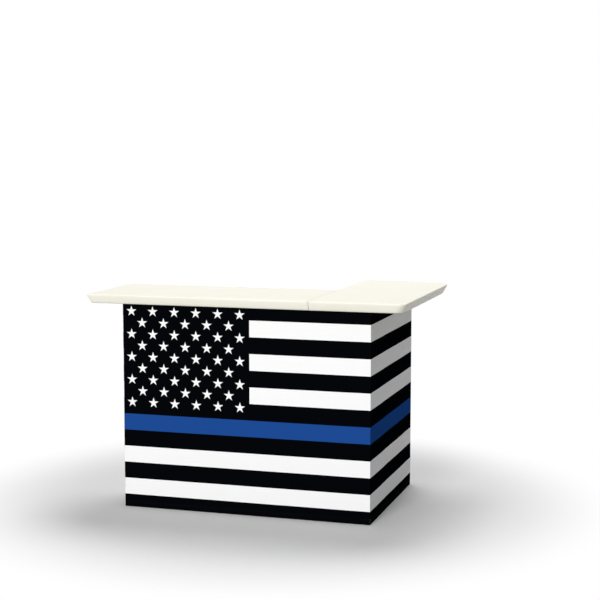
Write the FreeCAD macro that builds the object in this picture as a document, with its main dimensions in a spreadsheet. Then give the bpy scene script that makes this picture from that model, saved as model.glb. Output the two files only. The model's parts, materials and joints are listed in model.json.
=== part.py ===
import FreeCAD, Part
import os
import Sketcher

# Portable L-shaped bar: two moulded counter panels on a folding steel frame, with a
# fabric skirt and shelf boards. Millimetres, +Z up, origin on the ground under the
# middle of the counter. X runs along the front, whose face looks along -Y.

doc = FreeCAD.newDocument("portable_bar")

# Driving dimensions, each set by itself
SIZES = [
    # counter panels
    ("counter_height", 1067),
    ("front_panel_length", 1120),
    ("front_panel_width", 520),
    ("return_panel_length", 1055),
    ("return_panel_width", 462),
    ("panel_thickness", 45),
    ("panel_corner_radius", 40),
    ("bevel_width", 17),
    ("bevel_height", 40),
    ("panel_edge_bevel", 1.5),
    ("seam_gap", 0.6),
    ("cell_length", 100),
    ("cell_width", 95),
    ("cell_depth", 6),
    ("cell_rib", 22),
    ("cells_along", 8),
    ("cells_across", 3),
    # fabric skirt
    ("front_overhang", 109),
    ("left_overhang", 143),
    ("right_overhang", 188),
    ("end_overhang", 84),
    ("skirt_thickness", 1),
    ("skirt_ground_gap", 6),
    ("skirt_top_gap", 4),
    ("hem_height", 30),
    ("hem_thickness", 1),
    ("skirt_standoff", 4),
    # steel frame
    ("tube_size", 25),
    ("tube_wall", 1.5),
    ("tube_corner_bevel", 2),
    ("frame_depth", 340),
    ("running_gap", 0.3),
    ("foot_height", 8),
    ("foot_rim", 1),
    ("foot_stem_height", 20),
    ("foot_stem_clearance", 0.2),
    ("foot_bevel", 1.5),
    # shelf boards
    ("lower_shelf_height", 250),
    ("upper_shelf_drop", 382),
    ("shelf_thickness", 15),
    ("shelf_clearance", 3),
    ("shelf_edge_bevel", 2),
    # seam plate and its pegs
    ("plate_width", 100),
    ("plate_thickness", 3),
    ("peg_diameter", 10),
    ("peg_height", 12),
    ("peg_spacing", 60),
    ("peg_inset", 60),
    ("peg_clearance", 0.4),
    # scissor linkage
    ("hub_drop", 67),
    ("slider_drop", 420),
    ("bar_width", 22),
    ("bar_thickness", 4),
    ("bar_gap", 0.6),
    ("pin_diameter", 8),
    ("pin_clearance", 0.3),
    ("pin_head_diameter", 14),
    ("pin_head_thickness", 2),
    ("boss_width", 18),
    ("hub_plate_height", 50),
    ("hub_plate_thickness", 3),
    ("collar_height", 40),
    ("collar_wall", 2.5),
    ("collar_back_wall", 4),
    ("collar_clearance", 0.4),
    ("collar_corner_bevel", 2),
    # clamp knobs
    ("knob_boss_width", 20),
    ("knob_boss_height", 5),
    ("knob_length", 28),
    ("knob_width", 10),
    ("knob_thickness", 12),
    ("knob_shaft_diameter", 8),
    # hook strips that hold the skirt
    ("strip_width", 20),
    ("strip_margin", 20),
    # overrun of every cut
    ("overrun", 5),
]

# Places worked out from the sizes
PLACES = [
    ("half_length", "(Sizes.front_panel_length + Sizes.seam_gap + Sizes.return_panel_width) / 2"),
    ("half_depth", "Sizes.return_panel_length / 2"),
    ("seam_x", "Sizes.front_panel_length + Sizes.seam_gap / 2 - half_length"),
    ("underside", "Sizes.counter_height - Sizes.panel_thickness"),
    ("upper_shelf_height", "underside - Sizes.upper_shelf_drop"),
    ("skirt_left", "Sizes.left_overhang - half_length"),
    ("skirt_right", "half_length - Sizes.right_overhang"),
    ("skirt_front", "Sizes.front_overhang - half_depth"),
    ("skirt_end", "half_depth - Sizes.end_overhang"),
    ("post_inset", "Sizes.skirt_thickness + Sizes.skirt_standoff + Sizes.tube_size / 2"),
    ("left_x", "skirt_left + post_inset"),
    ("right_x", "skirt_right - post_inset"),
    ("mid_x", "(left_x + seam_x) / 2"),
    ("front_y", "skirt_front + post_inset"),
    ("rear_y", "front_y + Sizes.frame_depth - Sizes.tube_size"),
    ("end_y", "skirt_end - post_inset"),
    ("half_tube", "Sizes.tube_size / 2"),
    ("frame_top", "underside - Sizes.plate_thickness"),
    ("moving_top", "underside - Sizes.running_gap"),
    ("hub_z", "underside - Sizes.hub_drop"),
    ("slider_z", "hub_z - Sizes.slider_drop"),
    ("link_z", "(hub_z + slider_z) / 2"),
    ("bay_span", "seam_x - mid_x"),
    ("return_span", "end_y - rear_y"),
    ("bay_bar", "sqrt(bay_span ^ 2 + Sizes.slider_drop ^ 2)"),
    ("return_bar", "sqrt(return_span ^ 2 + Sizes.slider_drop ^ 2)"),
    ("bay_angle", "atan(Sizes.slider_drop / bay_span)"),
    ("return_angle", "atan(Sizes.slider_drop / return_span)"),
    ("collar_reach", "half_tube + Sizes.collar_clearance + Sizes.collar_wall"),
    ("collar_back", "half_tube + Sizes.collar_clearance + Sizes.collar_back_wall"),
    ("near_bar", "collar_back + Sizes.bar_gap"),
    ("far_bar", "near_bar + Sizes.bar_thickness + Sizes.bar_gap"),
    ("past_near_bar", "near_bar + Sizes.bar_thickness + Sizes.bar_gap"),
    ("past_far_bar", "far_bar + Sizes.bar_thickness + Sizes.bar_gap"),
    ("links_reach", "past_far_bar + Sizes.pin_head_thickness"),
    ("skirt_top", "underside - Sizes.skirt_top_gap"),
    ("skirt_height", "skirt_top - Sizes.skirt_ground_gap"),
]


TOLERANCE = 1e-6


def fill_sheet(name, rows, prefix):
    sheet = doc.addObject("Spreadsheet::Sheet", name)
    for number, (alias, content) in enumerate(rows, start=1):
        sheet.set(f"A{number}", alias)
        sheet.set(f"B{number}", prefix + str(content))
        sheet.setAlias(f"B{number}", alias)
    doc.recompute()
    return sheet


sizes = fill_sheet("Sizes", SIZES, "")
places = fill_sheet("Places", PLACES, "=")

ALIASES = {alias: "Sizes." for alias, _ in SIZES} | {alias: "Places." for alias, _ in PLACES}


def full(expression):
    """The expression with each alias led by the name of its sheet."""
    words = []
    word = ""
    for letter in str(expression) + " ":
        if letter.isalnum() or letter == "_":
            word += letter
            continue
        words.append(ALIASES.get(word, "") + word + letter)
        word = ""
    return "".join(words).strip()


def value(expression):
    """The number that an expression gives now."""
    result = sizes.evalExpression(full(expression))
    return float(getattr(result, "Value", result))


def new_body(label):
    body = doc.addObject("PartDesign::Body", label)
    body.Label = label
    body.AllowCompound = True
    return body


def plane_of(body, role):
    return next(item for item in body.Origin.OriginFeatures if item.Role == role)


def new_sketch(body, role, offset="0"):
    """Empty sketch on one of the body's own planes, moved along the plane's normal."""
    sketch = body.newObject("Sketcher::SketchObject", body.Name + "_sketch")
    sketch.AttachmentSupport = [(plane_of(body, role), "")]
    sketch.MapMode = "FlatFace"
    sketch.setExpression("AttachmentOffset.Base.z", full(offset))
    return sketch


def bind(sketch, kind, where, expression):
    """Dimension of a sketch, tied to an expression."""
    constraint = Sketcher.Constraint(kind, *where, value(expression))
    index = sketch.addConstraint(constraint)
    sketch.setExpression(f"Constraints[{index}]", full(expression))


def rectangle(sketch, left, bottom, width, height):
    """Rectangle from its lower left corner."""
    x0, y0 = value(left), value(bottom)
    x1, y1 = x0 + value(width), y0 + value(height)
    corners = [(x0, y0), (x1, y0), (x1, y1), (x0, y1)]
    points = [FreeCAD.Vector(x, y, 0) for x, y in corners]
    first = sketch.GeometryCount
    for start, end in zip(points, points[1:] + points[:1]):
        sketch.addGeometry(Part.LineSegment(start, end))
    for side in range(4):
        sketch.addConstraint(
            Sketcher.Constraint("Coincident", first + side, 2, first + (side + 1) % 4, 1))
        kind = "Horizontal" if side % 2 == 0 else "Vertical"
        sketch.addConstraint(Sketcher.Constraint(kind, first + side))
    bind(sketch, "DistanceX", (-1, 1, first, 1), left)
    bind(sketch, "DistanceY", (-1, 1, first, 1), bottom)
    bind(sketch, "DistanceX", (first, 1, first, 2), width)
    bind(sketch, "DistanceY", (first + 1, 1, first + 1, 2), height)


def centred(sketch, x, y, width, height):
    """Rectangle from its middle."""
    rectangle(sketch, f"{x} - ({width}) / 2", f"{y} - ({height}) / 2", width, height)


def circle(sketch, x, y, diameter):
    centre = FreeCAD.Vector(value(x), value(y), 0)
    index = sketch.addGeometry(
        Part.Circle(centre, FreeCAD.Vector(0, 0, 1), value(diameter) / 2))
    bind(sketch, "DistanceX", (-1, 1, index, 3), x)
    bind(sketch, "DistanceY", (-1, 1, index, 3), y)
    bind(sketch, "Diameter", (index,), diameter)


def hexagon(sketch, diameter):
    """Regular hexagon about the middle, inside a circle of the diameter."""
    radius = value(diameter) / 2
    ring = sketch.addGeometry(
        Part.Circle(FreeCAD.Vector(), FreeCAD.Vector(0, 0, 1), radius), True)
    sketch.addConstraint(Sketcher.Constraint("Coincident", ring, 3, -1, 1))
    bind(sketch, "Diameter", (ring,), diameter)
    turn = FreeCAD.Rotation(FreeCAD.Vector(0, 0, 1), 360 / 6)
    corners = [FreeCAD.Vector(radius, 0, 0)]
    while len(corners) < 6:
        corners.append(turn.multVec(corners[-1]))
    sides = [sketch.addGeometry(Part.LineSegment(start, end))
             for start, end in zip(corners, corners[1:] + corners[:1])]
    for side, following in zip(sides, sides[1:] + sides[:1]):
        sketch.addConstraint(Sketcher.Constraint("Coincident", side, 2, following, 1))
        sketch.addConstraint(Sketcher.Constraint("PointOnObject", side, 1, ring))
        if following != sides[0]:
            sketch.addConstraint(Sketcher.Constraint("Equal", side, following))
    sketch.addConstraint(Sketcher.Constraint("PointOnObject", sides[0], 1, -1))


def slot(sketch, length, width):
    """Bar outline about the middle, with round ends centred half a length away."""
    half, radius = value(length) / 2, value(width) / 2
    up = FreeCAD.Vector(0, 0, 1)
    quarter = value("pi / 2")
    left_end = Part.Circle(FreeCAD.Vector(-half, 0, 0), up, radius)
    right_end = Part.Circle(FreeCAD.Vector(half, 0, 0), up, radius)
    top = sketch.addGeometry(Part.LineSegment(
        FreeCAD.Vector(half, radius, 0), FreeCAD.Vector(-half, radius, 0)))
    left = sketch.addGeometry(Part.ArcOfCircle(left_end, quarter, 3 * quarter))
    bottom = sketch.addGeometry(Part.LineSegment(
        FreeCAD.Vector(-half, -radius, 0), FreeCAD.Vector(half, -radius, 0)))
    right = sketch.addGeometry(Part.ArcOfCircle(right_end, -quarter, quarter))
    ring = [(top, 2, left, 1), (left, 2, bottom, 1), (bottom, 2, right, 1), (right, 2, top, 1)]
    for joint in ring:
        sketch.addConstraint(Sketcher.Constraint("Tangent", *joint))
    sketch.addConstraint(Sketcher.Constraint("PointOnObject", left, 3, -1))
    bind(sketch, "DistanceX", (left, 3, -1, 1), f"({length}) / 2")
    bind(sketch, "DistanceX", (-1, 1, right, 3), f"({length}) / 2")
    bind(sketch, "Radius", (left,), f"({width}) / 2")
    sketch.addConstraint(Sketcher.Constraint("Horizontal", top))


def pad(body, sketch, length, side="One side", back=False):
    feature = body.newObject("PartDesign::Pad", body.Name + "_pad")
    feature.Profile = sketch
    feature.SideType = side
    feature.Reversed = back
    feature.setExpression("Length", full(length))
    body.Tip = feature
    doc.recompute()
    return feature


def pocket(body, sketch, depth, side="One side", back=False):
    """Cut that has to take material away, so that a wrong direction is seen."""
    before = body.Shape.Volume
    feature = body.newObject("PartDesign::Pocket", body.Name + "_pocket")
    feature.Profile = sketch
    feature.SideType = side
    feature.Reversed = back
    feature.setExpression("Length", full(depth))
    body.Tip = feature
    doc.recompute()
    if body.Shape.Volume >= before:
        raise RuntimeError(f"{feature.Name} cuts nothing")
    return feature


def edges(feature, wanted):
    """Names of the feature's edges that a test picks."""
    return [f"Edge{number}" for number, edge in enumerate(feature.Shape.Edges, start=1)
            if wanted(edge)]


def along(axis):
    """Test for straight edges that run along one axis, 0, 1 or 2."""
    def test(edge):
        size = [edge.BoundBox.XLength, edge.BoundBox.YLength, edge.BoundBox.ZLength]
        rest = [size[index] for index in range(3) if index != axis]
        return size[axis] > max(rest) + TOLERANCE and max(rest) < TOLERANCE
    return test


def fillet(body, feature, wanted, radius):
    rounded = body.newObject("PartDesign::Fillet", body.Name + "_fillet")
    rounded.Base = (feature, edges(feature, wanted))
    rounded.setExpression("Radius", full(radius))
    body.Tip = rounded
    doc.recompute()
    return rounded


def chamfer(body, feature, wanted, size, second_size=None):
    bevelled = body.newObject("PartDesign::Chamfer", body.Name + "_chamfer")
    bevelled.Base = (feature, edges(feature, wanted))
    bevelled.setExpression("Size", full(size))
    if second_size:
        bevelled.ChamferType = "Two distances"
        bevelled.setExpression("Size2", full(second_size))
    body.Tip = bevelled
    doc.recompute()
    return bevelled


def place(body, x="0", y="0", z="0", axis=None, angle="0"):
    """Put a body where expressions say, turned about one axis by a positive angle."""
    if axis:
        turn = FreeCAD.Rotation(FreeCAD.Vector(*axis), value(angle))
        body.Placement = FreeCAD.Placement(FreeCAD.Vector(), turn)
        body.setExpression("Placement.Rotation.Angle", full(angle))
    for name, expression in zip("xyz", (x, y, z)):
        body.setExpression(f"Placement.Base.{name}", full(expression))


TURN = ((0, 0, 1), "90")


# Counter panels

def counter_panel(label, size_x, size_y, cells_x, cells_y, joint_x, sockets, x):
    """Moulded panel: rounded corners, undercut rim, ribbed underside and peg sockets.

    The side at joint_x butts against the other panel, so it stays square.
    """
    body = new_body(label)
    outline = new_sketch(body, "XY_Plane")
    rectangle(outline, "0", "0", size_x, size_y)
    slab = pad(body, outline, "panel_thickness")
    joint = value(joint_x)
    top = value("panel_thickness")

    def free(edge):
        return abs(edge.CenterOfMass.x - joint) > TOLERANCE

    def free_corner(edge):
        return along(2)(edge) and free(edge)

    def free_bottom(edge):
        return edge.BoundBox.ZMax < TOLERANCE and free(edge)

    def on_top(edge):
        return edge.BoundBox.ZMin > top - TOLERANCE

    rounded = fillet(body, slab, free_corner, "panel_corner_radius")
    undercut = chamfer(body, rounded, free_bottom, "bevel_height", "bevel_width")
    chamfer(body, undercut, on_top, "panel_edge_bevel")

    pegs = new_sketch(body, "XY_Plane")
    for peg_x, peg_y in sockets:
        circle(pegs, peg_x, peg_y, "peg_diameter + 2 * peg_clearance")
    pocket(body, pegs, "peg_height + peg_clearance", back=True)

    cell = new_sketch(body, "XY_Plane")
    size = ("cell_length", "cell_width")
    if cells_x == "cells_across":
        size = ("cell_width", "cell_length")
    first_x = f"({size_x} - ({cells_x} * ({size[0]} + cell_rib) - cell_rib)) / 2"
    first_y = f"({size_y} - ({cells_y} * ({size[1]} + cell_rib) - cell_rib)) / 2"
    for row in range(int(value("cells_across"))):
        if cells_x == "cells_across":
            rectangle(cell, f"{first_x} + {row} * ({size[0]} + cell_rib)", first_y, *size)
        else:
            rectangle(cell, first_x, f"{first_y} + {row} * ({size[1]} + cell_rib)", *size)
    cut = pocket(body, cell, "cell_depth", back=True)
    rows = body.newObject("PartDesign::LinearPattern", body.Name + "_cells")
    rows.Originals = [cut]
    rows.Direction = (cell, ["V_Axis" if cells_x == "cells_across" else "H_Axis"])
    rows.Mode = "Spacing"
    rows.setExpression("Offset", full("cell_length + cell_rib"))
    rows.setExpression("Occurrences", full("cells_along"))
    body.Tip = rows
    place(body, x, "-half_depth", "underside")


PEG_ROWS = ("front_y - half_tube + half_depth + peg_inset",
            "rear_y + half_tube + half_depth - peg_inset")
counter_panel("front_top", "front_panel_length", "front_panel_width", "cells_along",
              "cells_across", "front_panel_length",
              [("front_panel_length + (seam_gap - peg_spacing) / 2", y) for y in PEG_ROWS],
              "-half_length")
counter_panel("return_top", "return_panel_width", "return_panel_length", "cells_across",
              "cells_along", "0", [("(peg_spacing - seam_gap) / 2", y) for y in PEG_ROWS],
              "seam_x + seam_gap / 2")

plate = new_body("seam_plate")
plate_outline = new_sketch(plate, "XY_Plane")
centred(plate_outline, "0", "0", "plate_width", "frame_depth")
plate_slab = pad(plate, plate_outline, "plate_thickness")
chamfer(plate, plate_slab, along(2), "tube_corner_bevel")
place(plate, "seam_x", "(front_y + rear_y) / 2", "frame_top")

pegs = new_body("seam_pegs")
peg_sketch = new_sketch(pegs, "XY_Plane")
for side in ("-", ""):
    for end in ("-", ""):
        circle(peg_sketch, f"{side}peg_spacing / 2",
               f"{end}(frame_depth / 2 - peg_inset)", "peg_diameter")
pad(pegs, peg_sketch, "peg_height")
place(pegs, "seam_x", "(front_y + rear_y) / 2", "underside")


# Square steel tubes

def post(label, x, y, top):
    """Upright tube, closed at the top by a welded plate and open at the foot."""
    body = new_body(label)
    outline = new_sketch(body, "XY_Plane")
    centred(outline, "0", "0", "tube_size", "tube_size")
    length = f"{top} - foot_height"
    solid = pad(body, outline, length)
    chamfer(body, solid, along(2), "tube_corner_bevel")
    bore = new_sketch(body, "XY_Plane")
    centred(bore, "0", "0", "tube_size - 2 * tube_wall", "tube_size - 2 * tube_wall")
    pocket(body, bore, f"{length} - tube_wall", back=True)
    place(body, x, y, "foot_height")


def rails(label, role, length, heights, x, y):
    """Level tubes between two posts, one above the other, named by their top faces."""
    body = new_body(label)
    section = new_sketch(body, role)
    for height in heights:
        middle = f"{height} - half_tube"
        centred(section, "0", middle, "tube_size", "tube_size")
        centred(section, "0", middle, "tube_size - 2 * tube_wall", "tube_size - 2 * tube_wall")
    tubes = pad(body, section, length, side="Symmetric")
    half = value("half_tube")

    def outer(edge):
        middle = edge.CenterOfMass
        across = middle.y if role == "YZ_Plane" else middle.x
        run = 0 if role == "YZ_Plane" else 1
        return along(run)(edge) and abs(abs(across) - half) < TOLERANCE

    chamfer(body, tubes, outer, "tube_corner_bevel")
    place(body, x, y)


ROOT_LEVELS = ("frame_top", "upper_shelf_height", "lower_shelf_height")
MOVING_LEVELS = ("moving_top", "upper_shelf_height - running_gap",
                 "lower_shelf_height - running_gap")
BETWEEN_ROWS = "rear_y - front_y - tube_size"
BETWEEN_SIDES = "right_x - seam_x - tube_size"
ROW_MIDDLE = "(front_y + rear_y) / 2"
SIDE_MIDDLE = "(seam_x + right_x) / 2"

post("corner_front_left_post", "seam_x", "front_y", "frame_top")
post("corner_front_right_post", "right_x", "front_y", "underside")
post("corner_rear_left_post", "seam_x", "rear_y", "frame_top")
post("corner_rear_right_post", "right_x", "rear_y", "underside")
post("mid_front_post", "mid_x", "front_y", "moving_top")
post("mid_rear_post", "mid_x", "rear_y", "moving_top")
post("left_front_post", "left_x", "front_y", "moving_top")
post("left_rear_post", "left_x", "rear_y", "moving_top")
post("return_inner_post", "seam_x", "end_y", "moving_top")
post("return_outer_post", "right_x", "end_y", "moving_top")
rails("corner_left_rails", "XZ_Plane", BETWEEN_ROWS, ROOT_LEVELS, "seam_x", ROW_MIDDLE)
rails("corner_right_rails", "XZ_Plane", BETWEEN_ROWS, ("underside", "lower_shelf_height"),
      "right_x", ROW_MIDDLE)
rails("corner_front_rails", "YZ_Plane", BETWEEN_SIDES, ROOT_LEVELS, SIDE_MIDDLE, "front_y")
rails("corner_rear_rails", "YZ_Plane", BETWEEN_SIDES, ROOT_LEVELS, SIDE_MIDDLE, "rear_y")
rails("mid_rails", "XZ_Plane", BETWEEN_ROWS, MOVING_LEVELS, "mid_x", ROW_MIDDLE)
rails("left_rails", "XZ_Plane", BETWEEN_ROWS, MOVING_LEVELS, "left_x", ROW_MIDDLE)
rails("return_end_rails", "YZ_Plane", BETWEEN_SIDES, MOVING_LEVELS, SIDE_MIDDLE, "end_y")


def feet(label, places):
    """Moulded feet: a bevelled pad under each tube and a stem pressed into it."""
    body = new_body(label)
    pads = new_sketch(body, "XY_Plane")
    for x, y in places:
        centred(pads, x, y, "tube_size + 2 * foot_rim", "tube_size + 2 * foot_rim")
    solid = pad(body, pads, "foot_height")

    def under(edge):
        return edge.BoundBox.ZMax < TOLERANCE

    chamfer(body, solid, under, "foot_bevel")
    stems = new_sketch(body, "XY_Plane", "foot_height")
    stem = "tube_size - 2 * tube_wall - 2 * foot_stem_clearance"
    for x, y in places:
        centred(stems, x, y, stem, stem)
    pad(body, stems, "foot_stem_height")
    place(body)


feet("corner_feet", [(x, y) for x in ("seam_x", "right_x") for y in ("front_y", "rear_y")])
feet("mid_feet", [("mid_x", "front_y"), ("mid_x", "rear_y")])
feet("left_feet", [("left_x", "front_y"), ("left_x", "rear_y")])
feet("return_feet", [("seam_x", "end_y"), ("right_x", "end_y")])


# Scissor linkage, drawn with the post along Z and the bars on its +Y side

def lug(body, start, near_bar_used, far_bar_used):
    """Boss, pin and head that stand out along +Y and carry the bars."""
    boss_end = "near_bar - bar_gap / 2" if near_bar_used else "far_bar - bar_gap / 2"
    head_start = "past_far_bar" if far_bar_used else "past_near_bar"
    stack = [("boss", start, boss_end), ("pin", boss_end, head_start),
             ("head", head_start, f"{head_start} + pin_head_thickness")]
    pile(body, stack)


def pile(body, stack):
    """Pads along +Y, one on the other: square bosses, round pins and hexagonal heads."""
    for kind, low, high in stack:
        outline = new_sketch(body, "XZ_Plane", f"-({low})")
        if kind == "boss":
            centred(outline, "0", "0", "boss_width", "boss_width")
        elif kind == "pin":
            circle(outline, "0", "0", "pin_diameter")
        else:
            hexagon(outline, "pin_head_diameter")
        pad(body, outline, f"{high} - ({low})", back=True)


def hub(label, x, y, near_bar_used, far_bar_used, turned=False):
    """Plate welded to the post's inner face, with the fixed pivot of its bars."""
    body = new_body(label)
    plate = new_sketch(body, "XZ_Plane", "-half_tube")
    centred(plate, "0", "0", "tube_size", "hub_plate_height")
    solid = pad(body, plate, "hub_plate_thickness", back=True)
    chamfer(body, solid, along(1), "tube_corner_bevel")
    lug(body, "half_tube + hub_plate_thickness", near_bar_used, far_bar_used)
    place(body, x, y, "hub_z", *(TURN if turned else ()))


def slider(label, x, y, near_bar_used, far_bar_used, turned=False, clamped=False):
    """Moulded collar that runs on the post and carries the lower ends of its bars."""
    body = new_body(label)
    collar = new_sketch(body, "XY_Plane")
    rectangle(collar, "-collar_reach", "-collar_reach", "2 * collar_reach",
              "collar_reach + collar_back")
    solid = pad(body, collar, "collar_height", side="Symmetric")
    chamfer(body, solid, along(2), "collar_corner_bevel")
    if clamped:
        boss = new_sketch(body, "YZ_Plane", "collar_reach")
        centred(boss, "0", "0", "knob_boss_width", "knob_boss_width")
        pad(body, boss, "knob_boss_height")
    bore = new_sketch(body, "XY_Plane")
    centred(bore, "0", "0", "tube_size + 2 * collar_clearance",
            "tube_size + 2 * collar_clearance")
    pocket(body, bore, "collar_height + overrun", side="Symmetric")
    if clamped:
        hole = new_sketch(body, "YZ_Plane")
        circle(hole, "0", "0", "knob_shaft_diameter + 2 * pin_clearance")
        pocket(body, hole, "collar_reach + knob_boss_height + overrun", back=True)
    lug(body, "collar_back", near_bar_used, far_bar_used)
    place(body, x, y, "slider_z", *(TURN if turned else ()))


def bar(label, role, length, x, y, axis, angle):
    """Flat bar with round ends, pierced at both ends and in the middle."""
    body = new_body(label)
    outline = new_sketch(body, role)
    slot(outline, length, "bar_width")
    pad(body, outline, "bar_thickness", side="Symmetric")
    holes = new_sketch(body, role)
    for place_along in (f"-({length}) / 2", "0", f"({length}) / 2"):
        circle(holes, place_along, "0", "pin_diameter + 2 * pin_clearance")
    pocket(body, holes, "bar_thickness + overrun", side="Symmetric")
    place(body, x, y, "link_z", axis, angle)


def pivot_pin(label, x, y, turned=False):
    """Middle pin of a pair of bars, with a head on each side."""
    body = new_body(label)
    near_head = "near_bar - bar_gap / 2 - pin_head_thickness"
    pile(body, [("head", near_head, f"{near_head} + pin_head_thickness"),
                ("pin", f"{near_head} + pin_head_thickness", "past_far_bar"),
                ("head", "past_far_bar", "links_reach")])
    place(body, x, y, "link_z", *(TURN if turned else ()))


def knob(label, x, y, turned=False):
    """Clamp knob: a winged grip on a shaft whose tip bears on the post."""
    body = new_body(label)
    grip_start = "collar_reach + knob_boss_height + running_gap"
    grip = new_sketch(body, "YZ_Plane", grip_start)
    slot(grip, "knob_length - knob_width", "knob_width")
    pad(body, grip, "knob_thickness")
    shaft = new_sketch(body, "YZ_Plane", grip_start)
    circle(shaft, "0", "0", "knob_shaft_diameter")
    pad(body, shaft, f"{grip_start} - half_tube - running_gap", back=True)
    place(body, x, y, "slider_z", *(TURN if turned else ()))


hub("corner_front_hub", "seam_x", "front_y", True, False)
hub("mid_hub", "mid_x", "front_y", True, True)
hub("left_hub", "left_x", "front_y", False, True)
hub("corner_rear_hub", "right_x", "rear_y", True, False, turned=True)
hub("return_end_hub", "right_x", "end_y", False, True, turned=True)
slider("corner_front_slider", "seam_x", "front_y", False, True, clamped=True)
slider("mid_slider", "mid_x", "front_y", True, True)
slider("left_slider", "left_x", "front_y", True, False)
slider("corner_rear_slider", "right_x", "rear_y", False, True, turned=True, clamped=True)
slider("return_end_slider", "right_x", "end_y", True, False, turned=True)
knob("front_clamp_knob", "seam_x", "front_y")
knob("return_clamp_knob", "right_x", "rear_y", turned=True)

NEAR_Y = "front_y + near_bar + bar_thickness / 2"
FAR_Y = "front_y + far_bar + bar_thickness / 2"
for bay, bay_middle in (("right_bay", "(mid_x + seam_x) / 2"),
                        ("left_bay", "(left_x + mid_x) / 2")):
    bar(f"{bay}_near_bar", "XZ_Plane", "bay_bar", bay_middle, NEAR_Y, (0, -1, 0), "bay_angle")
    bar(f"{bay}_far_bar", "XZ_Plane", "bay_bar", bay_middle, FAR_Y, (0, 1, 0), "bay_angle")
    pivot_pin(f"{bay}_pin", bay_middle, "front_y")
NEAR_X = "right_x - near_bar - bar_thickness / 2"
FAR_X = "right_x - far_bar - bar_thickness / 2"
RETURN_MIDDLE = "(rear_y + end_y) / 2"
bar("return_near_bar", "YZ_Plane", "return_bar", NEAR_X, RETURN_MIDDLE, (-1, 0, 0),
    "return_angle")
bar("return_far_bar", "YZ_Plane", "return_bar", FAR_X, RETURN_MIDDLE, (1, 0, 0),
    "return_angle")
pivot_pin("return_pin", "right_x", RETURN_MIDDLE, turned=True)


# Shelf boards, laid on the rails between the posts

def shelf(label, left, right, front, back, height):
    body = new_body(label)
    outline = new_sketch(body, "XY_Plane")
    rectangle(outline, "0", "0", f"{right} - ({left})", f"{back} - ({front})")
    board = pad(body, outline, "shelf_thickness")
    top = value("shelf_thickness")

    def upper(edge):
        return edge.BoundBox.ZMin > top - TOLERANCE

    chamfer(body, board, upper, "shelf_edge_bevel")
    place(body, left, front, height)


for level in ("upper", "lower"):
    height = f"{level}_shelf_height"
    shelf(f"front_{level}_shelf", "left_x - half_tube", "seam_x + half_tube - shelf_clearance / 2",
          "front_y + links_reach + shelf_clearance", "rear_y - half_tube - shelf_clearance", height)
    shelf(f"return_{level}_shelf", "seam_x + half_tube + shelf_clearance",
          "right_x - links_reach - shelf_clearance", "front_y - half_tube + shelf_clearance",
          "end_y + half_tube - shelf_clearance", height)


# Fabric skirt: flat panels with a doubled hem along the ground

def skirt_panel(label, role, start, length, outer_plane, inward):
    """Upright panel whose outer face lies in a plane; inward is + or - along the normal."""
    body = new_body(label)
    back = inward == "-"
    sheet = new_sketch(body, role)
    rectangle(sheet, start, "skirt_ground_gap", length, "skirt_height")
    pad(body, sheet, "skirt_thickness", back=back)
    hem = new_sketch(body, role, f"{inward}skirt_thickness")
    rectangle(hem, f"{start} + post_inset - half_tube", "skirt_ground_gap",
              f"{length} - 2 * (post_inset - half_tube)", "hem_height")
    pad(body, hem, "hem_thickness", back=back)
    if role == "XZ_Plane":
        place(body, y=outer_plane)
    else:
        place(body, x=outer_plane)


FRONT_WIDTH = "skirt_right - skirt_left"
LEFT_START = "skirt_front + skirt_thickness"
RIGHT_START = "skirt_front + skirt_thickness + hem_thickness + running_gap"
skirt_panel("front_skirt_panel", "XZ_Plane", "skirt_left", FRONT_WIDTH, "skirt_front", "-")
skirt_panel("left_skirt_panel", "YZ_Plane", LEFT_START,
            "frame_depth + skirt_standoff", "skirt_left", "")
skirt_panel("right_skirt_panel", "YZ_Plane", RIGHT_START, f"skirt_end - ({RIGHT_START})",
            "skirt_right", "-")
skirt_panel("end_skirt_panel", "XZ_Plane", "seam_x - half_tube",
            "skirt_right - skirt_thickness - seam_x + half_tube", "skirt_end", "")


def hook_strips(label, front, side):
    """Strips of hooks on the posts' outer faces, above and below the sliders' travel.

    front and side list the places across the XZ and YZ planes, the outer face of the
    tube there, and the way out.
    """
    body = new_body(label)
    for role, places in (("XZ_Plane", front), ("YZ_Plane", side)):
        for across, face, back in places:
            strip = new_sketch(body, role, face)
            low = ("skirt_ground_gap + hem_height + strip_margin",
                   "lower_shelf_height - strip_margin")
            high = ("slider_z + collar_height / 2 + strip_margin", "skirt_top - strip_margin")
            for start, end in (low, high):
                rectangle(strip, f"{across} - strip_width / 2", start, "strip_width",
                          f"{end} - ({start})")
            pad(body, strip, "skirt_standoff - running_gap", back=back)
    place(body)


FRONT_FACE = "-(front_y - half_tube)"
hook_strips("corner_hook_strips",
            [("seam_x", FRONT_FACE, False), ("right_x", FRONT_FACE, False)],
            [("front_y", "right_x + half_tube", False), ("rear_y", "right_x + half_tube", False)])
hook_strips("mid_hook_strips", [("mid_x", FRONT_FACE, False)], [])
hook_strips("left_hook_strips", [("left_x", FRONT_FACE, False)],
            [("front_y", "left_x - half_tube", True), ("rear_y", "left_x - half_tube", True)])
END_FACE = "-(end_y + half_tube)"
hook_strips("return_hook_strips",
            [("seam_x", END_FACE, True), ("right_x", END_FACE, True)],
            [("end_y", "right_x + half_tube", False)])

doc.recompute()

# Nothing is written unless every object is sound
for item in doc.Objects:
    if "Invalid" in item.State or "Error" in item.State:
        raise RuntimeError(f"{item.Name}: {item.State}")
bodies = [item for item in doc.Objects if item.TypeId == "PartDesign::Body"]
for body in bodies:
    if body.Shape.isNull() or not body.Shape.isValid():
        raise RuntimeError(f"{body.Label} has no valid shape")

os.makedirs("parts", exist_ok=True)
for body in bodies:
    body.Shape.exportStep(f"parts/{body.Label}.step")
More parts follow.
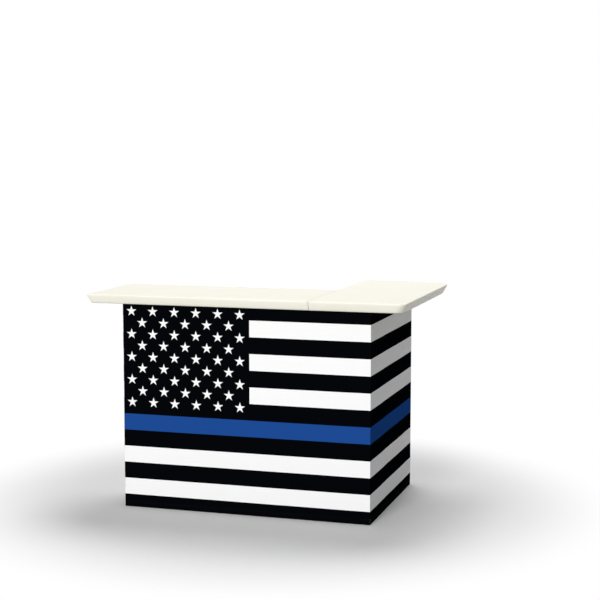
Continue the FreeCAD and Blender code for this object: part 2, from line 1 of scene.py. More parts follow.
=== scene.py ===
"""Portable bar: moulded counter panels, printed cloth skirt and a folding steel frame."""

import json
import math

import bmesh
import bpy
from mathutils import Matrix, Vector, noise


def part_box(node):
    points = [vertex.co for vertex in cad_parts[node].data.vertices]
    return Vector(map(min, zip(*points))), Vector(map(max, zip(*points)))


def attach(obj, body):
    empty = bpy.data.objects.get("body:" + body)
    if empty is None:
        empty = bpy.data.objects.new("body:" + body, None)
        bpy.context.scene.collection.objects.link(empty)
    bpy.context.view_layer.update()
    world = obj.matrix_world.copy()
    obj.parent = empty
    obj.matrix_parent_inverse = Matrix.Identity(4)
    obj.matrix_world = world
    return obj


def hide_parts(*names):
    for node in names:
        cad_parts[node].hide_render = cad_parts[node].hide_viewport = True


MM = 0.001

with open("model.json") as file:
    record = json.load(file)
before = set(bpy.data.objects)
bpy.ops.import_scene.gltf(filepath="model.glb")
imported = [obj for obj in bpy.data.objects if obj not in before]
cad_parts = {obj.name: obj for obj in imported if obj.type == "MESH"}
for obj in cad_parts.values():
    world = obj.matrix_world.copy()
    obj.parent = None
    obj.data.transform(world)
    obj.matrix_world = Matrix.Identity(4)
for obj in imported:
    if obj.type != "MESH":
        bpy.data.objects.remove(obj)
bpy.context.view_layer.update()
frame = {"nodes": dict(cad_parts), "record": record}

# Moulded pieces. Rows of RIM and BOARD_RIM and corner radii are in mm, the rest in metres
CORNER_STEPS = 8
MOULDED_CREASE = math.radians(50)
SAME_PLACE = 0.01 * MM
# The counter's rim from the top face down: how far in from the edge, how far down, and
# by what share the corners' radii are larger than at the widest place
RIM = ((9, 0, -0.2), (4, 0.15, -0.1), (1.6, 0.9, -0.04), (0.4, 2.2, -0.01), (0, 4, 0),
       (1.3, 9, 0.08), (6.6, 22, 0.23), (12.6, 36, 0.35), (14.8, 40.6, 0.38),
       (17.6, 43.8, 0.38), (22, 45, 0.33))
# Corner radii at the widest place, anticlockwise from the left front corner, in mm. The
# side that meets the other panel stays square: it keeps back a little, with eased edges
FRONT_CORNERS = (6, 0, 0, 40)
RETURN_CORNERS = (0, 30, 90, 34)
KEPT_BACK = 0.7 * MM
EASED_EDGE = 1.5 * MM
# Cells sunk into the counter's underside, and the ribs between them
CELL_LENGTH = 100 * MM
CELL_WIDTH = 95 * MM
CELL_RIB = 22 * MM
CELL_DEPTH = 6 * MM
CELL_DRAFT = 2 * MM
CELL_CORNER = 8 * MM
CELLS_ALONG = 8
CELLS_ACROSS = 3
# A rib's section from its root down: how far in, and how far above the lowest face
RIB_SECTION = ((0, CELL_DEPTH + 1 * MM), (0, CELL_DEPTH), (CELL_DRAFT, 1 * MM),
               (CELL_DRAFT + 1 * MM, 0))
RIB_CORNER = 2 * MM
# A shelf board from its sunken floor over the lip and down: how far in, how far down, and
# the corners' radius
BOARD_RIM = ((16, 2.4, 6), (13.5, 1.9, 6), (12, 0.5, 6), (10.5, 0, 7), (4, 0, 10),
             (1.6, 0.5, 11), (0.4, 1.8, 12), (0, 3.5, 12), (0, 11.5, 12), (0.6, 13.6, 11),
             (2.2, 14.7, 10), (5, 15, 8))
# Treads on a board's floor. Their section goes up: how far in, and how high
TREAD_PITCH = 24 * MM
TREAD = 5 * MM
TREAD_RISE = 1.6 * MM
TREAD_SECTION = ((0, -0.3 * MM), (0, TREAD_RISE * 0.5), (0.8 * MM, TREAD_RISE * 0.9),
                 (1.8 * MM, TREAD_RISE))
TREAD_END = 0.05 * MM
TREAD_MARGIN = 8 * MM

# Cloth, in metres. Its mesh is a grid of about COLUMN by ROW
CLOTH = 1 * MM
CLOTH_CREASE = math.radians(60)
FOLD_RADIUS = 4 * MM
FOLD_STEPS = 4
FLOOR_GAP = 2 * MM
HEM_HEIGHT = 30 * MM
TOP_HEM = 17 * MM
# Seams, below the lower hem's upper edge and above the upper hem's lower edge
HEM_SEAMS = (4 * MM, 9 * MM)
TOP_SEAM = 3 * MM
COLUMN = 12 * MM
ROW = 15 * MM
SLACK = 1.6 * MM
# The slack's mean share, and its waves: how many to a metre along and up, the layer of
# noise that they come from, and their share
MEAN_SLACK = 0.6
BROAD_WAVES = (5, 2, 3, 0.9)
FINE_WAVES = (16, 5, 8, 0.35)

# Print, in metres. Stripes are counted from the top, from 0. A place is how far along the
# cloth from its left front corner, and how high
BLACK_INK = "#05070A"
BLUE_INK = "#1E4A94"
WHITE_CLOTH = "#FBFBFB"
STRIPE = 80.7 * MM
BLUE_STRIPE = 7
FLAG_TOP = 1033.7 * MM
CANTON_WIDTH = 652 * MM
FIRST_STAR = (43.8 * MM, 977.5 * MM)
STAR_PITCH = (111.9 * MM, -112.4 * MM)
STAR_RADIUS = 27 * MM
# Stars in a row, and rows, of the first lattice and of the one between its stars
STAR_COUNTS = ((6, 5), (5, 4))
INK_EDGE = 0.5 * MM

# Stitches and weld ripples: pitch, length and width in metres, and tilt in degrees
STITCH_PITCH = 6 * MM
STITCH = (4.2 * MM, 0.8 * MM)
STITCH_TILT = 4
WELD_PITCH = 2.4 * MM
WELD = (3.2 * MM, 3.0 * MM)
WELD_TILT = 8
WELD_BELOW_TOP = 2 * MM
SEED = 7

# Floor and light. The floor throws back less light than the camera sees on it, and it
# turns white between two distances from the object's middle
FLOOR_RADIUS = 14
FLOOR_SIDES = 96
FLOOR_FADE = (0.95, 1.74)
FLOOR_LIT = "#949494"
FLOOR_SEEN = "#D6D6D6"
FLOOR_GLOW = 0.1
WHITE = "#FFFFFF"
SOFT_LIGHT = 0.34
# Each lamp's name, place, the point that it faces, width and power
LAMPS = (("front_light", (-0.9, -12.4, 3.3), (0, -0.4, 0.6), 3.5, 1160),
         ("top_light", (0, 1.9, 7), (0, 0, 0.5), 3, 228),
         ("side_light", (5.5, 1, 0.2), (0.6, 0, 0.8), 1.6, 26))

# Camera, worked out from the photograph's edges and the rows of its print
CAMERA_PLACE = (2.2152, -6.809, 1.7946)
CAMERA_YAW = 17.023
CAMERA_PITCH = 6.279
LENS = 85.764
SENSOR = 36

# Numbers of the sockets of a Mix node that mixes colours
MIX_A, MIX_B, MIX_RESULT = 6, 7, 2


def linear(code):
    """Colour written as sRGB hex, in linear light."""
    parts = [int(code[place:place + 2], 16) / 255 for place in (1, 3, 5)]
    return (*(((part + 0.055) / 1.055) ** 2.4 if part > 0.04045 else part / 12.92
              for part in parts), 1)


def add(tree, kind, inputs=None, **settings):
    """New node with its settings; its inputs are values or the sockets that feed them."""
    made = tree.nodes.new(kind)
    for name, setting in settings.items():
        setattr(made, name, setting)
    for key, source in (inputs or {}).items():
        if isinstance(source, bpy.types.NodeSocket):
            tree.links.new(source, made.inputs[key])
        else:
            made.inputs[key].default_value = source
    return made


# Materials

def new_material(name, **sockets):
    """Material with its shader's own sockets set; returns it, its tree and the shader."""
    made = bpy.data.materials.new(name)
    made.use_nodes = True
    tree = made.node_tree
    shader = tree.nodes["Principled BSDF"]
    for socket, setting in sockets.items():
        shader.inputs[socket.replace("_", " ")].default_value = setting
    return made, tree, shader


def feed(tree, shader, colour, roughness=None, normal=None):
    """Join the sockets that carry a surface's look to its shader."""
    for socket, source in (("Base Color", colour), ("Roughness", roughness),
                           ("Normal", normal)):
        if source:
            tree.links.new(source, shader.inputs[socket])


def moulded_plastic(name, colour, shade, grain, height, roughness):
    """Moulded thermoplastic: even colour, a fine grain from the mould, and faint scuffs.

    grain and height are the width and the depth of the grain's pebbles, in metres.
    """
    made, tree, shader = new_material(name)
    place = add(tree, "ShaderNodeTexCoord").outputs["Object"]
    cloud = add(tree, "ShaderNodeTexNoise", {"Vector": place, "Scale": 1 / (220 * MM),
                                             "Detail": 3})
    tint = add(tree, "ShaderNodeMix", {"Factor": cloud.outputs["Fac"], MIX_A: linear(colour),
                                       MIX_B: linear(shade)}, data_type="RGBA")
    scuffs = add(tree, "ShaderNodeTexNoise", {"Vector": place, "Scale": 1 / (30 * MM),
                                              "Detail": 5, "Distortion": 1.5})
    gloss = add(tree, "ShaderNodeMapRange", {"Value": scuffs.outputs["Fac"], "From Min": 0.35,
                                             "From Max": 0.7, "To Min": roughness - 0.05,
                                             "To Max": roughness + 0.08})
    pebble = add(tree, "ShaderNodeTexVoronoi", {"Vector": place, "Scale": 1 / grain},
                 feature="SMOOTH_F1")
    bump = add(tree, "ShaderNodeBump", {"Height": pebble.outputs["Distance"], "Strength": 0.6,
                                        "Distance": height})
    feed(tree, shader, tint.outputs[MIX_RESULT], gloss.outputs["Result"],
         bump.outputs["Normal"])
    return made


def powder_coat(name, colour):
    """Powder coated steel: satin, with the soft orange peel that baked powder leaves."""
    made, tree, shader = new_material(name)
    place = add(tree, "ShaderNodeTexCoord").outputs["Object"]
    peel = add(tree, "ShaderNodeTexNoise", {"Vector": place, "Scale": 1 / (2.5 * MM),
                                            "Detail": 2})
    bump = add(tree, "ShaderNodeBump", {"Height": peel.outputs["Fac"], "Strength": 0.35,
                                        "Distance": 0.15 * MM})
    rubs = add(tree, "ShaderNodeTexNoise", {"Vector": place, "Scale": 1 / (50 * MM),
                                            "Detail": 6})
    gloss = add(tree, "ShaderNodeMapRange", {"Value": rubs.outputs["Fac"], "From Min": 0.35,
                                             "From Max": 0.7, "To Min": 0.34, "To Max": 0.52})
    tint = add(tree, "ShaderNodeMix", {"Factor": rubs.outputs["Fac"], MIX_A: linear(colour),
                                       MIX_B: linear("#2B2D30")}, data_type="RGBA")
    feed(tree, shader, tint.outputs[MIX_RESULT], gloss.outputs["Result"],
         bump.outputs["Normal"])
    return made


def zinc_plate():
    """Zinc plated steel: pale grey metal with fine turning marks and a dull bloom."""
    made, tree, shader = new_material("zinc_plated_steel", Metallic=1.0)
    place = add(tree, "ShaderNodeTexCoord").outputs["Object"]
    bloom = add(tree, "ShaderNodeTexNoise", {"Vector": place, "Scale": 1 / (6 * MM),
                                             "Detail": 4})
    tint = add(tree, "ShaderNodeMix", {"Factor": bloom.outputs["Fac"],
                                       MIX_A: linear("#A9ABAD"),
                                       MIX_B: linear("#C9CBCC")}, data_type="RGBA")
    gloss = add(tree, "ShaderNodeMapRange", {"Value": bloom.outputs["Fac"], "To Min": 0.24,
                                             "To Max": 0.46})
    marks = add(tree, "ShaderNodeTexNoise", {"Vector": place, "Scale": 1 / (0.6 * MM),
                                             "Detail": 1})
    bump = add(tree, "ShaderNodeBump", {"Height": marks.outputs["Fac"], "Strength": 0.2,
                                        "Distance": 0.05 * MM})
    feed(tree, shader, tint.outputs[MIX_RESULT], gloss.outputs["Result"],
         bump.outputs["Normal"])
    return made


def hook_tape():
    """Nylon hook tape: black, dull, with rows of tiny hooks.

    The hooks are drawn 2.5 mm apart, twice as coarse as the real ones, so that they show.
    """
    made, tree, shader = new_material("nylon_hook_tape", Roughness=0.75)
    place = add(tree, "ShaderNodeTexCoord").outputs["Object"]
    hooks = add(tree, "ShaderNodeTexVoronoi", {"Vector": place, "Scale": 1 / (2.5 * MM),
                                               "Randomness": 0.25})
    hook_tips_and_highlight = add(tree, "ShaderNodeMapRange", {"Value": hooks.outputs["Distance"],
                                            "From Max": 0.6, "To Min": 1.0, "To Max": 0.0})
    # Painted highlight: the hooks are drawn lighter towards their tips, where the bump is
    # highest
    tint = add(tree, "ShaderNodeMix", {"Factor": hook_tips_and_highlight.outputs["Result"],
                                       MIX_A: linear("#0E0E10"),
                                       MIX_B: linear("#34353A")}, data_type="RGBA")
    bump = add(tree, "ShaderNodeBump", {"Height": hook_tips_and_highlight.outputs["Result"], "Strength": 0.9,
                                        "Distance": 0.8 * MM})
    feed(tree, shader, tint.outputs[MIX_RESULT], normal=bump.outputs["Normal"])
    return made


def thread():
    """Polyester sewing thread: black, twisted, with a very low sheen."""
    made, tree, shader = new_material("polyester_thread", Roughness=0.6,
                                      Specular_IOR_Level=0.1)
    place = add(tree, "ShaderNodeTexCoord").outputs["Object"]
    twist = add(tree, "ShaderNodeTexNoise", {"Vector": place, "Scale": 1 / (0.8 * MM),
                                             "Detail": 2})
    tint = add(tree, "ShaderNodeMix", {"Factor": twist.outputs["Fac"],
                                       MIX_A: linear("#08090B"),
                                       MIX_B: linear("#1D1E22")}, data_type="RGBA")
    feed(tree, shader, tint.outputs[MIX_RESULT])
    return made


def star_mask(tree, place, first, counts):
    """1 inside the stars of one lattice, 0 outside.

    place is along the cloth and up, first is the upper left star's place, and counts are
    the stars in a row and the rows.
    """
    pitch = (*STAR_PITCH, 1)
    from_first = add(tree, "ShaderNodeVectorMath", {0: place, 1: (*first, 0)},
                     operation="SUBTRACT")
    steps = add(tree, "ShaderNodeVectorMath", {0: from_first.outputs[0], 1: pitch},
                operation="DIVIDE")
    raised = add(tree, "ShaderNodeVectorMath", {0: steps.outputs[0], 1: (0.5, 0.5, 0)},
                 operation="ADD")
    nearest = add(tree, "ShaderNodeVectorMath", {0: raised.outputs[0]}, operation="FLOOR")
    above = add(tree, "ShaderNodeVectorMath", {0: nearest.outputs[0], 1: (0, 0, 0)},
                operation="MAXIMUM")
    inside = add(tree, "ShaderNodeVectorMath",
                 {0: above.outputs[0], 1: (counts[0] - 1, counts[1] - 1, 0)},
                 operation="MINIMUM")
    centre = add(tree, "ShaderNodeVectorMath", {0: inside.outputs[0], 1: pitch},
                 operation="MULTIPLY")
    away = add(tree, "ShaderNodeVectorMath", {0: from_first.outputs[0], 1: centre.outputs[0]},
               operation="SUBTRACT").outputs[0]
    reach = add(tree, "ShaderNodeVectorMath", {0: away}, operation="LENGTH").outputs["Value"]
    parts = add(tree, "ShaderNodeSeparateXYZ", {0: away})
    angle = add(tree, "ShaderNodeMath", {0: parts.outputs["X"], 1: parts.outputs["Y"]},
                operation="ARCTAN2")
    # Five points: the angle folds to and fro over half a point, and a straight edge runs
    # from each tip at a slant to the point's middle line
    half_point, slant = math.radians(36), math.radians(18)
    folded = add(tree, "ShaderNodeMath", {0: angle.outputs[0], 1: half_point},
                 operation="PINGPONG")
    leaning = add(tree, "ShaderNodeMath", {0: folded.outputs[0], 1: slant}, operation="ADD")
    sine = add(tree, "ShaderNodeMath", {0: leaning.outputs[0]}, operation="SINE")
    edge = add(tree, "ShaderNodeMath", {0: reach, 1: sine.outputs[0]}, operation="MULTIPLY")
    limit = STAR_RADIUS * math.sin(slant)
    return add(tree, "ShaderNodeMapRange",
               {"Value": edge.outputs[0], "From Min": limit - INK_EDGE,
                "From Max": limit + INK_EDGE, "To Min": 1, "To Max": 0}).outputs["Result"]


def print_colours(tree, place):
    """Colours of the print: stars on a dark canton, and stripes, a blue one among them."""
    parts = add(tree, "ShaderNodeSeparateXYZ", {0: place})
    along, up = parts.outputs["X"], parts.outputs["Y"]

    # Stripes, counted from the top
    down = add(tree, "ShaderNodeMath", {0: FLAG_TOP, 1: up}, operation="SUBTRACT")
    number = add(tree, "ShaderNodeMath", {0: down.outputs[0], 1: STRIPE}, operation="DIVIDE")
    whole = add(tree, "ShaderNodeMath", {0: number.outputs[0]}, operation="FLOOR")
    odd = add(tree, "ShaderNodeMath", {0: whole.outputs[0], 1: 1}, operation="PINGPONG")
    blue = add(tree, "ShaderNodeMath", {0: whole.outputs[0], 1: BLUE_STRIPE, 2: 0.5},
               operation="COMPARE")
    below = add(tree, "ShaderNodeMath", {0: whole.outputs[0], 1: BLUE_STRIPE - 0.5},
                operation="GREATER_THAN")
    right = add(tree, "ShaderNodeMath", {0: along, 1: CANTON_WIDTH}, operation="GREATER_THAN")
    behind = add(tree, "ShaderNodeMath", {0: along, 1: 0}, operation="LESS_THAN")
    beside = add(tree, "ShaderNodeMath", {0: right.outputs[0], 1: behind.outputs[0]},
                 operation="MAXIMUM")
    striped = add(tree, "ShaderNodeMath", {0: beside.outputs[0], 1: below.outputs[0]},
                  operation="MAXIMUM")
    white = add(tree, "ShaderNodeMath", {0: odd.outputs[0], 1: striped.outputs[0]},
                operation="MULTIPLY")

    # Stars: five rows of six, with four rows of five between them
    second = (FIRST_STAR[0] + STAR_PITCH[0] / 2, FIRST_STAR[1] + STAR_PITCH[1] / 2)
    sixes = star_mask(tree, place, FIRST_STAR, STAR_COUNTS[0])
    fives = star_mask(tree, place, second, STAR_COUNTS[1])
    stars = add(tree, "ShaderNodeMath", {0: sixes, 1: fives}, operation="MAXIMUM")
    pale = add(tree, "ShaderNodeMath", {0: white.outputs[0], 1: stars.outputs[0]},
               operation="MAXIMUM")
    black_white = add(tree, "ShaderNodeMix", {"Factor": pale.outputs[0],
                                              MIX_A: linear(BLACK_INK),
                                              MIX_B: linear(WHITE_CLOTH)}, data_type="RGBA")
    colours = add(tree, "ShaderNodeMix", {"Factor": blue.outputs[0],
                                          MIX_A: black_white.outputs[MIX_RESULT],
                                          MIX_B: linear(BLUE_INK)}, data_type="RGBA")
    return colours.outputs[MIX_RESULT]


def printed_cloth():
    """Woven polyester with a dye print: matt, deep black, crisp edges to each colour.

    The weave is drawn with threads 2 mm apart, four times as coarse as the real ones,
    so that it shows close up.
    """
    made, tree, shader = new_material("printed_polyester", Roughness=0.85,
                                      Specular_IOR_Level=0)
    place = add(tree, "ShaderNodeUVMap", uv_map="cloth").outputs["UV"]
    colours = print_colours(tree, place)

    # Weave: two sets of waves crossed, faint in the colour and in the bump. Waves of scale
    # 1 are pi / 10 metres apart
    wave = math.pi / 10 / (2 * MM)
    warp, weft = (add(tree, "ShaderNodeTexWave", {"Vector": place, "Scale": wave},
                      bands_direction=direction) for direction in "XY")
    weave = add(tree, "ShaderNodeMath", {0: warp.outputs["Fac"], 1: weft.outputs["Fac"]},
                operation="MULTIPLY")
    # Painted shade: the colour is up to 4% darker in the weave's hollows, where the bump is
    # lowest
    weave_hollow_shade = add(tree, "ShaderNodeMapRange", {"Value": weave.outputs[0], "To Min": 0.96,
                                             "To Max": 1.0})
    shaded = add(tree, "ShaderNodeVectorMath", {0: colours, 3: weave_hollow_shade.outputs[0]},
                 operation="SCALE")
    bump = add(tree, "ShaderNodeBump", {"Height": weave.outputs[0], "Strength": 0.4,
                                        "Distance": 0.2 * MM})
    feed(tree, shader, shaded.outputs[0], normal=bump.outputs["Normal"])
    return made


def cloth_back():
    """Back of the printed cloth: off-white, brushed and matt, the print showing faintly."""
    made, tree, shader = new_material("brushed_cloth_back", Roughness=0.9,
                                      Specular_IOR_Level=0.15)
    place = add(tree, "ShaderNodeUVMap", uv_map="cloth").outputs["UV"]
    nap = add(tree, "ShaderNodeTexNoise", {"Vector": place, "Scale": 1 / (4 * MM),
                                           "Detail": 5})
    tint = add(tree, "ShaderNodeMix", {"Factor": nap.outputs["Fac"], MIX_A: linear("#C9C9CB"),
                                       MIX_B: linear("#E2E2E3")}, data_type="RGBA")
    through = add(tree, "ShaderNodeMix", {"Factor": 0.1, MIX_A: tint.outputs[MIX_RESULT],
                                          MIX_B: print_colours(tree, place)},
                  data_type="RGBA")
    bump = add(tree, "ShaderNodeBump", {"Height": nap.outputs["Fac"], "Strength": 0.5,
                                        "Distance": 0.3 * MM})
    feed(tree, shader, through.outputs[MIX_RESULT], normal=bump.outputs["Normal"])
    return made


POLYETHYLENE = moulded_plastic("polyethylene_counter", "#F6F4E7", "#F1EEDE", 1.6 * MM,
                               0.12 * MM, 0.5)
BOARD = moulded_plastic("polyethylene_board", "#E9E7DD", "#DFDCD0", 1.6 * MM, 0.12 * MM, 0.52)
NYLON = moulded_plastic("moulded_nylon", "#151618", "#222326", 0.9 * MM, 0.08 * MM, 0.45)
KNOB = moulded_plastic("phenolic_knob", "#101012", "#1A1A1D", 0.7 * MM, 0.05 * MM, 0.32)
STEEL = powder_coat("powder_coated_steel", "#1A1B1D")
ZINC = zinc_plate()
HOOKS = hook_tape()
THREAD = thread()
PRINT = printed_cloth()
BACK = cloth_back()
FINISHES = {"black_nylon": NYLON, "knob_plastic": KNOB, "zinc_plate": ZINC,
            "bar_steel": STEEL, "hub_steel": STEEL, "frame_steel": STEEL, "hook_tape": HOOKS,
            "counter_plastic": POLYETHYLENE, "shelf_board": BOARD, "skirt_fabric": PRINT}

for part in frame["record"]["subparts"]:
    node = frame["nodes"][part["node"]]
    node.data.materials.clear()
    node.data.materials.append(FINISHES[part["material_slot"]])


# Mesh helpers

def new_piece(name, mesh, material, body):
    """Object that rides on a body; its mesh gets the material unless it has its own."""
    piece = bpy.data.objects.new(name, mesh)
    bpy.context.scene.collection.objects.link(piece)
    if material:
        mesh.materials.append(material)
    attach(piece, body)
    return piece


def ring(x0, x1, y0, y1, z, radii):
    """Rounded rectangle with a radius for each corner, anticlockwise from its left front."""
    corners = ((x0, y0, 1, 1, 180), (x1, y0, -1, 1, 270), (x1, y1, -1, -1, 0),
               (x0, y1, 1, -1, 90))
    points = []
    for (x, y, side_x, side_y, start), radius in zip(corners, radii):
        for step in range(CORNER_STEPS + 1):
            angle = math.radians(start + 90 * step / CORNER_STEPS)
            points.append((x + radius * (side_x + math.cos(angle)),
                           y + radius * (side_y + math.sin(angle)), z))
    return points


def shell(name, rings):
    """Closed mesh through rings of equal count, capped at both ends."""
    work = bmesh.new()
    loops = [[work.verts.new(point) for point in points] for points in rings]
    count = len(loops[0])
    for upper, lower in zip(loops, loops[1:]):
        for place in range(count):
            after = (place + 1) % count
            work.faces.new((upper[place], lower[place], lower[after], upper[after]))
    work.faces.new(loops[0])
    work.faces.new(loops[-1])
    bmesh.ops.remove_doubles(work, verts=work.verts, dist=SAME_PLACE)
    bmesh.ops.recalc_face_normals(work, faces=work.faces)
    mesh = bpy.data.meshes.new(name)
    work.to_mesh(mesh)
    work.free()
    mesh.shade_smooth()
    mesh.set_sharp_from_angle(angle=MOULDED_CREASE)
    return mesh


def paths(name, lines):
    """Mesh of edges alone, one run of edges for each line of points."""
    work = bmesh.new()
    for line in lines:
        verts = [work.verts.new(point) for point in line]
        for start, end in zip(verts, verts[1:]):
            work.edges.new((start, end))
    mesh = bpy.data.meshes.new(name)
    work.to_mesh(mesh)
    work.free()
    return mesh


# Geometry Nodes trees

def node_tree(name, inputs):
    """Empty geometry tree with named inputs; returns it, its input node and its output."""
    tree = bpy.data.node_groups.new(name, "GeometryNodeTree")
    tree.interface.new_socket("Geometry", in_out="INPUT", socket_type="NodeSocketGeometry")
    for label, kind in inputs:
        tree.interface.new_socket(label, in_out="INPUT", socket_type=f"NodeSocket{kind}")
    tree.interface.new_socket("Geometry", in_out="OUTPUT", socket_type="NodeSocketGeometry")
    return tree, add(tree, "NodeGroupInput"), add(tree, "NodeGroupOutput")


def repeats_tree():
    """The mesh again and again in a straight row, as ribs and treads are."""
    tree, source, result = node_tree("row_of_repeats", (
        ("Count", "Int"), ("Step", "Vector"), ("Material", "Material")))
    line = add(tree, "GeometryNodeMeshLine", {"Count": source.outputs["Count"],
                                              "Offset": source.outputs["Step"]})
    row = add(tree, "GeometryNodeInstanceOnPoints", {"Points": line.outputs["Mesh"],
                                                     "Instance": source.outputs["Geometry"]})
    real = add(tree, "GeometryNodeRealizeInstances", {"Geometry": row.outputs["Instances"]})
    dressed = add(tree, "GeometryNodeSetMaterial", {"Geometry": real.outputs["Geometry"],
                                                    "Material": source.outputs["Material"]})
    tree.links.new(dressed.outputs["Geometry"], result.inputs["Geometry"])
    return tree


def beads_tree():
    """Small long beads along paths, each a little out of line: stitches and weld ripples."""
    tree, source, result = node_tree("beads_along_paths", (
        ("Pitch", "Float"), ("Length", "Float"), ("Width", "Float"), ("Tilt", "Float"),
        ("Seed", "Int"), ("Material", "Material")))
    curve = add(tree, "GeometryNodeMeshToCurve", {"Mesh": source.outputs["Geometry"]})
    even = add(tree, "GeometryNodeResampleCurve", {"Curve": curve.outputs["Curve"],
                                                   "Length": source.outputs["Pitch"]},
               mode="LENGTH")
    bead = add(tree, "GeometryNodeMeshUVSphere", {"Segments": 6, "Rings": 4, "Radius": 0.5})
    size = add(tree, "ShaderNodeCombineXYZ", {"X": source.outputs["Length"],
                                              "Y": source.outputs["Width"],
                                              "Z": source.outputs["Width"]})
    tangent = add(tree, "GeometryNodeInputTangent")
    facing = add(tree, "FunctionNodeAlignRotationToVector",
                 {"Vector": tangent.outputs["Tangent"]}, axis="X")
    least = add(tree, "ShaderNodeMath", {0: source.outputs["Tilt"], 1: -1},
                operation="MULTIPLY")
    chance = add(tree, "FunctionNodeRandomValue", {"Seed": source.outputs["Seed"]},
                 data_type="FLOAT_VECTOR")
    tree.links.new(least.outputs[0], chance.inputs["Min"])
    tree.links.new(source.outputs["Tilt"], chance.inputs["Max"])
    turn = add(tree, "FunctionNodeEulerToRotation", {"Euler": chance.outputs["Value"]})
    tilted = add(tree, "FunctionNodeRotateRotation", {"Rotation": facing.outputs["Rotation"],
                                                      "Rotate By": turn.outputs["Rotation"]},
                 rotation_space="LOCAL")
    row = add(tree, "GeometryNodeInstanceOnPoints",
              {"Points": even.outputs["Curve"], "Instance": bead.outputs["Mesh"],
               "Rotation": tilted.outputs["Rotation"], "Scale": size.outputs["Vector"]})
    real = add(tree, "GeometryNodeRealizeInstances", {"Geometry": row.outputs["Instances"]})
    smooth = add(tree, "GeometryNodeSetShadeSmooth", {"Geometry": real.outputs["Geometry"]})
    dressed = add(tree, "GeometryNodeSetMaterial", {"Geometry": smooth.outputs["Geometry"],
                                                    "Material": source.outputs["Material"]})
    tree.links.new(dressed.outputs["Geometry"], result.inputs["Geometry"])
    return tree


REPEATS = repeats_tree()
BEADS = beads_tree()


def grown(mesh, tree, **inputs):
    """Mesh that a geometry tree makes from a mesh, with the tree's named inputs set."""
    holder = bpy.data.objects.new(mesh.name + "_holder", mesh)
    bpy.context.scene.collection.objects.link(holder)
    modifier = holder.modifiers.new("grow", "NODES")
    modifier.node_group = tree
    for item in tree.interface.items_tree:
        if item.name in inputs:
            modifier[item.identifier] = inputs[item.name]
    ready = holder.evaluated_get(bpy.context.evaluated_depsgraph_get())
    made = bpy.data.meshes.new_from_object(ready)
    bpy.data.objects.remove(holder)
    return made


def beads(name, lines, body, pitch, size, tilt, material):
    """Piece of small beads along lines of points: rows of stitches, or a weld."""
    mesh = grown(paths(name, lines), BEADS, Pitch=pitch, Length=size[0], Width=size[1],
                 Tilt=math.radians(tilt), Seed=SEED, Material=material)
    return new_piece(name, mesh, None, body)


# Counter panels

def counter(name, node, body, corners, along_x):
    """Moulded panel with a slanting rim and a ribbed underside.

    Its corners are radii in mm, and the side with none of them meets the other panel.
    """
    low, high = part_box(node)
    rings = []
    for place, (inset, drop, larger) in enumerate(RIM):
        inset *= MM
        eased = KEPT_BACK + (EASED_EDGE if place in (0, len(RIM) - 1) else 0)
        left, right = (inset, eased) if corners[0] else (eased, inset)
        radii = [corner * (1 + larger) * MM if corner else EASED_EDGE for corner in corners]
        rings.append(ring(low[0] + left, high[0] - right, low[1] + inset, high[1] - inset,
                          high[2] - drop * MM, radii))
    length = CELLS_ALONG * (CELL_LENGTH + CELL_RIB) - CELL_RIB
    width = CELLS_ACROSS * (CELL_WIDTH + CELL_RIB) - CELL_RIB
    half_x, half_y = (length / 2, width / 2) if along_x else (width / 2, length / 2)
    x, y = (low[0] + high[0]) / 2, (low[1] + high[1]) / 2
    # One sunken field in the underside, which the ribs divide into cells
    for inset, rise in ((0, 0), (CELL_DRAFT, CELL_DEPTH)):
        rings.append(ring(x - half_x + inset, x + half_x - inset, y - half_y + inset,
                          y + half_y - inset, low[2] + rise, [CELL_CORNER] * 4))
    panel = new_piece(name, shell(name, rings), POLYETHYLENE, body)
    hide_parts(node)

    # Ribs between the cells, one mesh for those that run each way
    half_rib = CELL_RIB / 2
    for across in (True, False):
        if across == along_x:
            size_x, size_y = half_rib, half_y
            step = (CELL_LENGTH if along_x else CELL_WIDTH) + CELL_RIB
            count = (CELLS_ALONG if along_x else CELLS_ACROSS) - 1
            start, move = (x - step * (count - 1) / 2, y), (step, 0, 0)
        else:
            size_x, size_y = half_x, half_rib
            step = (CELL_WIDTH if along_x else CELL_LENGTH) + CELL_RIB
            count = (CELLS_ACROSS if along_x else CELLS_ALONG) - 1
            start, move = (x, y - step * (count - 1) / 2), (0, step, 0)
        bar = [ring(start[0] - size_x + inset, start[0] + size_x - inset,
                    start[1] - size_y + inset, start[1] + size_y - inset,
                    low[2] + rise, [RIB_CORNER] * 4) for inset, rise in RIB_SECTION]
        label = f"{name}_{'cross' if across else 'long'}_ribs"
        mesh = grown(shell(label, bar), REPEATS, Count=count, Step=move,
                     Material=POLYETHYLENE)
        new_piece(label, mesh, None, body)


counter("front_counter", "front_top", "front_top", FRONT_CORNERS, True)
counter("return_counter", "return_top", "return_top", RETURN_CORNERS, False)


# Shelf boards

